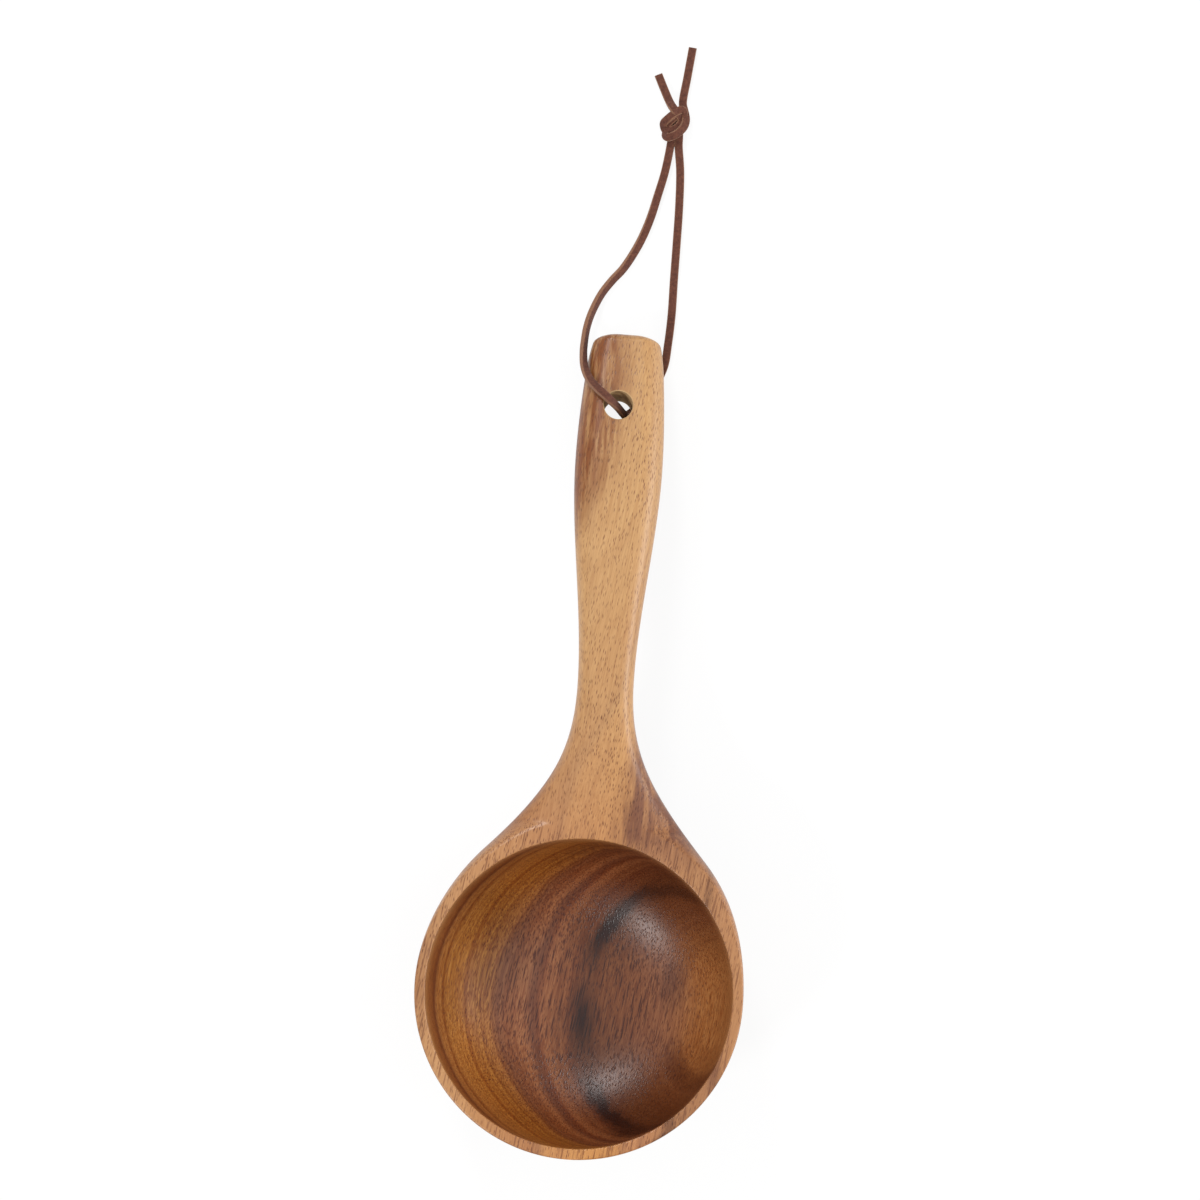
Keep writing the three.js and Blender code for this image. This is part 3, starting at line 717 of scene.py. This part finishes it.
BACK_KNOT = [
    (0.0015, -0.0076, -0.0017),
    (0.0016, -0.005, -0.0017),
    (0.0017, -0.0022, -0.0016),
    (0.002, 0.0004, -0.0012),
    (0.0027, 0.0026, -0.0003),
    (0.0033, 0.0044, 0.0008),
    (0.0028, 0.0055, 0.0014),
    (0.0012, 0.005, 0.0016),
    (-0.0009, 0.0035, 0.0015),
    (-0.0029, 0.0019, 0.001),
    (-0.0041, 0.0007, 0.0001),
    (-0.0039, -0.0009, -0.001),
    (-0.0032, -0.0024, -0.0011),
    (-0.0034, -0.0039, -0.0003),
    (-0.0027, -0.0048, 0.0009),
    (-0.0006, -0.0043, 0.0017),
    (0.0016, -0.0029, 0.0019),
    (0.0033, -0.001, 0.0015),
    (0.0041, 0.0014, 0.0006),
    (0.004, 0.0036, -0.0003),
    (0.0036, 0.0056, -0.0011),
]
LONG_TAIL = [
    (0.0031, 0.0084, -0.0017),
    (0.0049, 0.0187, -0.0018),
    (0.0069, 0.0296, -0.0018),
]

mouth = ladle_matrix @ Vector((-HOLE_OFFSET, hole_station, handle_top(hole_station)))
under_mouth = Vector((mouth.x, mouth.y, 0))
knot_centre = under_mouth + Vector(KNOT_PLACE)
knot_matrix = Matrix.Translation(knot_centre) @ Matrix.Rotation(PHOTO_ROLL, 4, "Z")
FINE_STEPS = 24


def smooth_path(points):
    """Evenly spaced points on a smooth curve, the place of each among the given points, and the length."""
    ends = [2 * points[0] - points[1], *points, 2 * points[-1] - points[-2]]
    fine = []
    for i in range(1, len(ends) - 2):
        a, b, c, d = ends[i - 1 : i + 3]
        gaps = [math.sqrt((q - p).length) for p, q in ((a, b), (b, c), (c, d))]
        start = ((b - a) / gaps[0] - (c - a) / (gaps[0] + gaps[1]) + (c - b) / gaps[1]) * gaps[1]
        end = ((c - b) / gaps[1] - (d - b) / (gaps[1] + gaps[2]) + (d - c) / gaps[2]) * gaps[1]
        for k in range(FINE_STEPS):
            u = k / FINE_STEPS
            level = b + (c - b) * u * u * (3 - 2 * u)
            fine.append((level + start * u * (1 - u) ** 2 - end * u * u * (1 - u), i - 1 + u))
    fine.append((points[-1], len(points) - 1.0))
    lengths = [0.0]
    for (p, _), (q, _) in zip(fine, fine[1:]):
        lengths.append(lengths[-1] + (q - p).length)
    steps = round(lengths[-1] / LACE_STEP)
    path, marks, at = [], [], 0
    for k in range(steps + 1):
        target = lengths[-1] * k / steps
        while at < len(fine) - 2 and lengths[at + 1] < target:
            at += 1
        share = (target - lengths[at]) / (lengths[at + 1] - lengths[at])
        path.append(fine[at][0].lerp(fine[at + 1][0], share))
        marks.append(fine[at][1] + (fine[at + 1][1] - fine[at][1]) * share)
    return path, marks, lengths[-1]


START_FACING = Vector((1, 0.07, 0))
START_POINTS = 4
START_TURN = 1.4
SMOOTHING = 8


def lace_facings(path, marks, twist):
    """The way that the lace's flat faces at each point: up, and leaning out from the knot's middle."""
    tangents = []
    for i in range(len(path)):
        tangents.append((path[min(i + 1, len(path) - 1)] - path[max(i - 1, 0)]).normalized())
    facings = []
    for i, (point, mark, tangent) in enumerate(zip(path, marks, tangents)):
        wanted = Vector((0, 0, 1))
        if mark < START_POINTS:
            wanted = START_FACING.lerp(wanted, min(1.0, START_TURN * (1 - abs(tangent.z))))
        out = (point - knot_centre) * Vector((1, 1, 0))
        wanted = wanted + KNOT_LEAN * max(0.0, 1 - (out.length / KNOT_REACH) ** 2) * out
        wanted = (wanted - wanted.dot(tangent) * tangent).normalized()
        facings.append(Matrix.Rotation(math.radians(twist(i * LACE_STEP)), 3, tangent) @ wanted)
    smooth = []
    for i, tangent in enumerate(tangents):
        mean = sum(facings[max(0, i - SMOOTHING) : i + SMOOTHING + 1], Vector((0, 0, 0)))
        smooth.append((mean - mean.dot(tangent) * tangent).normalized())
    return smooth


# Split leather, dyed through and left raw: it shows a matt, finely napped face and paler cut edges, whose
# paleness is partly a painted highlight.
NAP_SIZE = 0.0012
leather = bpy.data.materials.new("split_leather")
leather.use_nodes = True
hide = leather.node_tree
hide.nodes.clear()
hide_place = add(hide, "ShaderNodeTexCoord").outputs["Object"]
nap = add(
    hide, "ShaderNodeTexNoise",
    {"Vector": hide_place, "Scale": 1 / NAP_SIZE, "Detail": 4.0, "Roughness": 0.65},
)
dye = add(
    hide, "ShaderNodeValToRGB", {0: nap}, stops=[(0.30, "#472317"), (0.52, "#583021"), (0.74, "#693d2a")]
)
edge = add(hide, "ShaderNodeAttribute", attribute_name="edge")
# Paler cut edges, and a painted highlight along them
raw_edge_and_highlight = add(
    hide, "ShaderNodeMapRange",
    {"Value": edge.outputs["Fac"], "From Min": 0.78, "From Max": 0.95, "To Max": 0.5},
)
edged_and_highlit = add(hide, "ShaderNodeMix", {0: raw_edge_and_highlight, 6: dye, 7: colour("#9c7356")}, **BLEND).outputs[2]
hide_relief = add(hide, "ShaderNodeBump", {"Height": nap, "Strength": 0.5, "Distance": 0.0002})
hide_finish = add(
    hide, "ShaderNodeBsdfPrincipled",
    {"Base Color": edged_and_highlit, "Roughness": 0.8, "IOR": 1.4, "Sheen Weight": 0.1, "Normal": hide_relief},
)
add(hide, "ShaderNodeOutputMaterial", {"Surface": hide_finish})

# A flat strip drawn along a route, turned to face as the route says
lace_tree = bpy.data.node_groups.new("lace_along_route", "GeometryNodeTree")
sockets = lace_tree.interface
sockets.new_socket("Route", in_out="INPUT", socket_type="NodeSocketGeometry")
sockets.new_socket("Width", in_out="INPUT", socket_type="NodeSocketFloat")
sockets.new_socket("Thickness", in_out="INPUT", socket_type="NodeSocketFloat")
sockets.new_socket("Corner", in_out="INPUT", socket_type="NodeSocketFloat")
sockets.new_socket("Leather", in_out="INPUT", socket_type="NodeSocketMaterial")
sockets.new_socket("Lace", in_out="OUTPUT", socket_type="NodeSocketGeometry")
given = add(lace_tree, "NodeGroupInput").outputs
line = add(lace_tree, "GeometryNodeMeshToCurve", {"Mesh": given["Route"]})
facing = add(lace_tree, "GeometryNodeInputNamedAttribute", {"Name": "facing"}, data_type="FLOAT_VECTOR")
squeeze = add(lace_tree, "GeometryNodeInputNamedAttribute", {"Name": "squeeze"}, data_type="FLOAT")
faced = add(lace_tree, "GeometryNodeSetCurveNormal", {"Curve": line, "Normal": facing}, mode="FREE")
sized = add(lace_tree, "GeometryNodeSetCurveRadius", {"Curve": faced, "Radius": squeeze})
strip = add(
    lace_tree, "GeometryNodeCurvePrimitiveQuadrilateral",
    {"Width": given["Thickness"], "Height": given["Width"]},
)
rounded = add(
    lace_tree, "GeometryNodeFilletCurve", {"Curve": strip, "Radius": given["Corner"], "Count": 3},
    mode="POLY",
)
profile_place = add(lace_tree, "ShaderNodeSeparateXYZ", {0: add(lace_tree, "GeometryNodeInputPosition")})
from_middle = add(lace_tree, "ShaderNodeMath", {0: profile_place.outputs["Y"]}, operation="ABSOLUTE")
half_strip = add(lace_tree, "ShaderNodeMath", {0: given["Width"], 1: 0.5}, operation="MULTIPLY")
edge_share = add(lace_tree, "ShaderNodeMath", {0: from_middle, 1: half_strip}, operation="DIVIDE")
marked = add(
    lace_tree, "GeometryNodeStoreNamedAttribute",
    {"Geometry": rounded, "Name": "edge", "Value": edge_share},
    data_type="FLOAT", domain="POINT",
)
swept = add(
    lace_tree, "GeometryNodeCurveToMesh", {"Curve": sized, "Profile Curve": marked, "Fill Caps": True}
)
whole = add(lace_tree, "GeometryNodeRealizeInstances", {"Geometry": swept})
dressed = add(lace_tree, "GeometryNodeSetMaterial", {"Geometry": whole, "Material": given["Leather"]})
add(lace_tree, "NodeGroupOutput", {"Lace": dressed})
SQUEEZE_POINTS = 2
LACE_SHARP = math.radians(50)


def half_lace(name, route, knot, tail, twist, *nodes):
    """One half of the lace, from the middle of the hole to its cut end."""
    points = [under_mouth + Vector(point) for point in route]
    points += [knot_matrix @ Vector(point) for point in (*knot, *tail)]
    path, marks, length = smooth_path(points)
    facings = lace_facings(path, marks, twist)
    squeezes = []
    for mark in marks:
        into = min(mark - len(route), len(route) + len(knot) - mark)
        squeezes.append(1 + (KNOT_SQUEEZE - 1) * min(1.0, max(0.0, into / SQUEEZE_POINTS - 0.5)))

    mesh = bpy.data.meshes.new(name)
    mesh.from_pydata(path, [(i, i + 1) for i in range(len(path) - 1)], [])
    spread = [value for facing in facings for value in facing]
    mesh.attributes.new("facing", "FLOAT_VECTOR", "POINT").data.foreach_set("vector", spread)
    mesh.attributes.new("squeeze", "FLOAT", "POINT").data.foreach_set("value", squeezes)
    half = shown(name, mesh)
    drawn = half.modifiers.new("lace", "NODES")
    drawn.node_group = lace_tree
    sizes = {"Width": LACE_WIDTH, "Thickness": LACE_THICKNESS, "Corner": LACE_CORNER, "Leather": leather}
    for item in lace_tree.interface.items_tree:
        if item.in_out == "INPUT" and item.name in sizes:
            drawn[item.identifier] = sizes[item.name]
    bpy.context.view_layer.update()
    lace = bpy.data.meshes.new_from_object(half.evaluated_get(bpy.context.evaluated_depsgraph_get()))
    half.modifiers.clear()
    half.data = lace
    lace.shade_smooth()
    lace.set_sharp_from_angle(angle=LACE_SHARP)
    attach(half, "thong")
    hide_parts(*nodes)


# The front half is twisted by these degrees at distances from the hole. The back half lies untwisted.
front_twist = smooth_line((0, 0, 0), (0.045, 60, 0), (0.070, 45), (0.095, 20), (0.120, 0, 0))
back_twist = smooth_line((0, 0, 0), (0.120, 0, 0))
half_lace(
    "thong_front", FRONT_ROUTE, FRONT_KNOT, SHORT_TAIL, front_twist,
    "thong_front_run", "thong_knot", "thong_short_tail",
)
half_lace(
    "thong_back", BACK_ROUTE, BACK_KNOT, LONG_TAIL, back_twist,
    "thong_back_run", "thong_long_tail",
)

# The stage: a sheet of white paper that the ladle lies on, which keeps its soft shadow and is plain white
# farther out, soft lamps on both sides, and the camera straight above.
FLOOR_REACH = 3.0
SHADOW_REACH = 0.4
WHITE_REACH = 1.2
NEAR_WHITENESS = 0.88
FILL_STRENGTH = 0.45
floor_mesh = bpy.data.meshes.new("floor")
corners = [(x * FLOOR_REACH, y * FLOOR_REACH, 0) for x, y in ((-1, -1), (1, -1), (1, 1), (-1, 1))]
floor_mesh.from_pydata(corners, [], [(0, 1, 2, 3)])
floor = shown("floor", floor_mesh)
paper = bpy.data.materials.new("white_paper")
paper.use_nodes = True
sheet_tree = paper.node_tree
sheet_tree.nodes.clear()
ray = add(sheet_tree, "ShaderNodeLightPath").outputs
seen = add(
    sheet_tree, "ShaderNodeMath", {0: ray["Is Camera Ray"], 1: ray["Is Glossy Ray"]}, operation="MAXIMUM"
)
seen = add(sheet_tree, "ShaderNodeMath", {0: seen, 1: ray["Is Transmission Ray"]}, operation="MAXIMUM")
floor_place = add(sheet_tree, "ShaderNodeTexCoord").outputs["Object"]
from_ladle = add(sheet_tree, "ShaderNodeVectorMath", {0: floor_place}, operation="LENGTH").outputs["Value"]
whiteness = add(
    sheet_tree, "ShaderNodeMapRange",
    {"Value": from_ladle, "From Min": SHADOW_REACH, "From Max": WHITE_REACH, "To Min": NEAR_WHITENESS},
)
seen = add(sheet_tree, "ShaderNodeMath", {0: seen, 1: whiteness}, operation="MULTIPLY")
lit = add(sheet_tree, "ShaderNodeBsdfDiffuse", {"Color": colour("#f4f4f4")})
bright = add(sheet_tree, "ShaderNodeEmission", {"Color": colour("#ffffff"), "Strength": 1.0})
mixed = add(sheet_tree, "ShaderNodeMixShader", {0: seen, 1: lit, 2: bright})
add(sheet_tree, "ShaderNodeOutputMaterial", {"Surface": mixed})
floor_mesh.materials.append(paper)

world = bpy.data.worlds.new("studio")
bpy.context.scene.world = world
world.use_nodes = True
sky = world.node_tree
sky.nodes.clear()
sky_ray = add(sky, "ShaderNodeLightPath").outputs
fill = add(sky, "ShaderNodeBackground", {"Color": colour("#ffffff"), "Strength": FILL_STRENGTH})
behind = add(sky, "ShaderNodeBackground", {"Color": colour("#ffffff"), "Strength": 1.0})
backdrop = add(sky, "ShaderNodeMixShader", {0: sky_ray["Is Camera Ray"], 1: fill, 2: behind})
add(sky, "ShaderNodeOutputWorld", {"Surface": backdrop})


def softbox(name, place, width, height, power):
    """A soft lamp at a place, which shines on the ladle's middle."""
    lamp = bpy.data.lights.new(name, "AREA")
    lamp.shape = "RECTANGLE"
    lamp.size = width
    lamp.size_y = height
    lamp.energy = power
    holder = bpy.data.objects.new(name, lamp)
    bpy.context.collection.objects.link(holder)
    holder.location = place
    holder.rotation_euler = Vector(place).to_track_quat("Z", "Y").to_euler()


softbox("right_softbox", (1.0, 0.15, 1.35), 1.3, 2.2, 9.5)
softbox("left_softbox", (-1.0, 0.15, 1.35), 1.3, 2.2, 4.0)
softbox("right_panel", (1.3, 0.1, 0.3), 1.0, 0.6, 11.0)
softbox("lower_left_lamp", (-0.85, -0.80, 1.16), 0.28, 0.28, 11.0)
softbox("upper_left_lamp", (-0.42, 1.11, 0.98), 0.28, 0.28, 9.5)

CAMERA_HEIGHT = 1.2
CAMERA_PLAN = (-0.00301, 0.05136)
SENSOR_WIDTH = 36
LENS = 94.32
camera = bpy.data.cameras.new("camera")
camera.sensor_width = SENSOR_WIDTH
camera.lens = LENS
eye = bpy.data.objects.new("camera", camera)
bpy.context.collection.objects.link(eye)
eye.location = (*CAMERA_PLAN, CAMERA_HEIGHT)
eye.rotation_euler = (0, 0, PHOTO_ROLL)
bpy.context.scene.camera = eye
bpy.context.scene.view_settings.view_transform = "Standard"
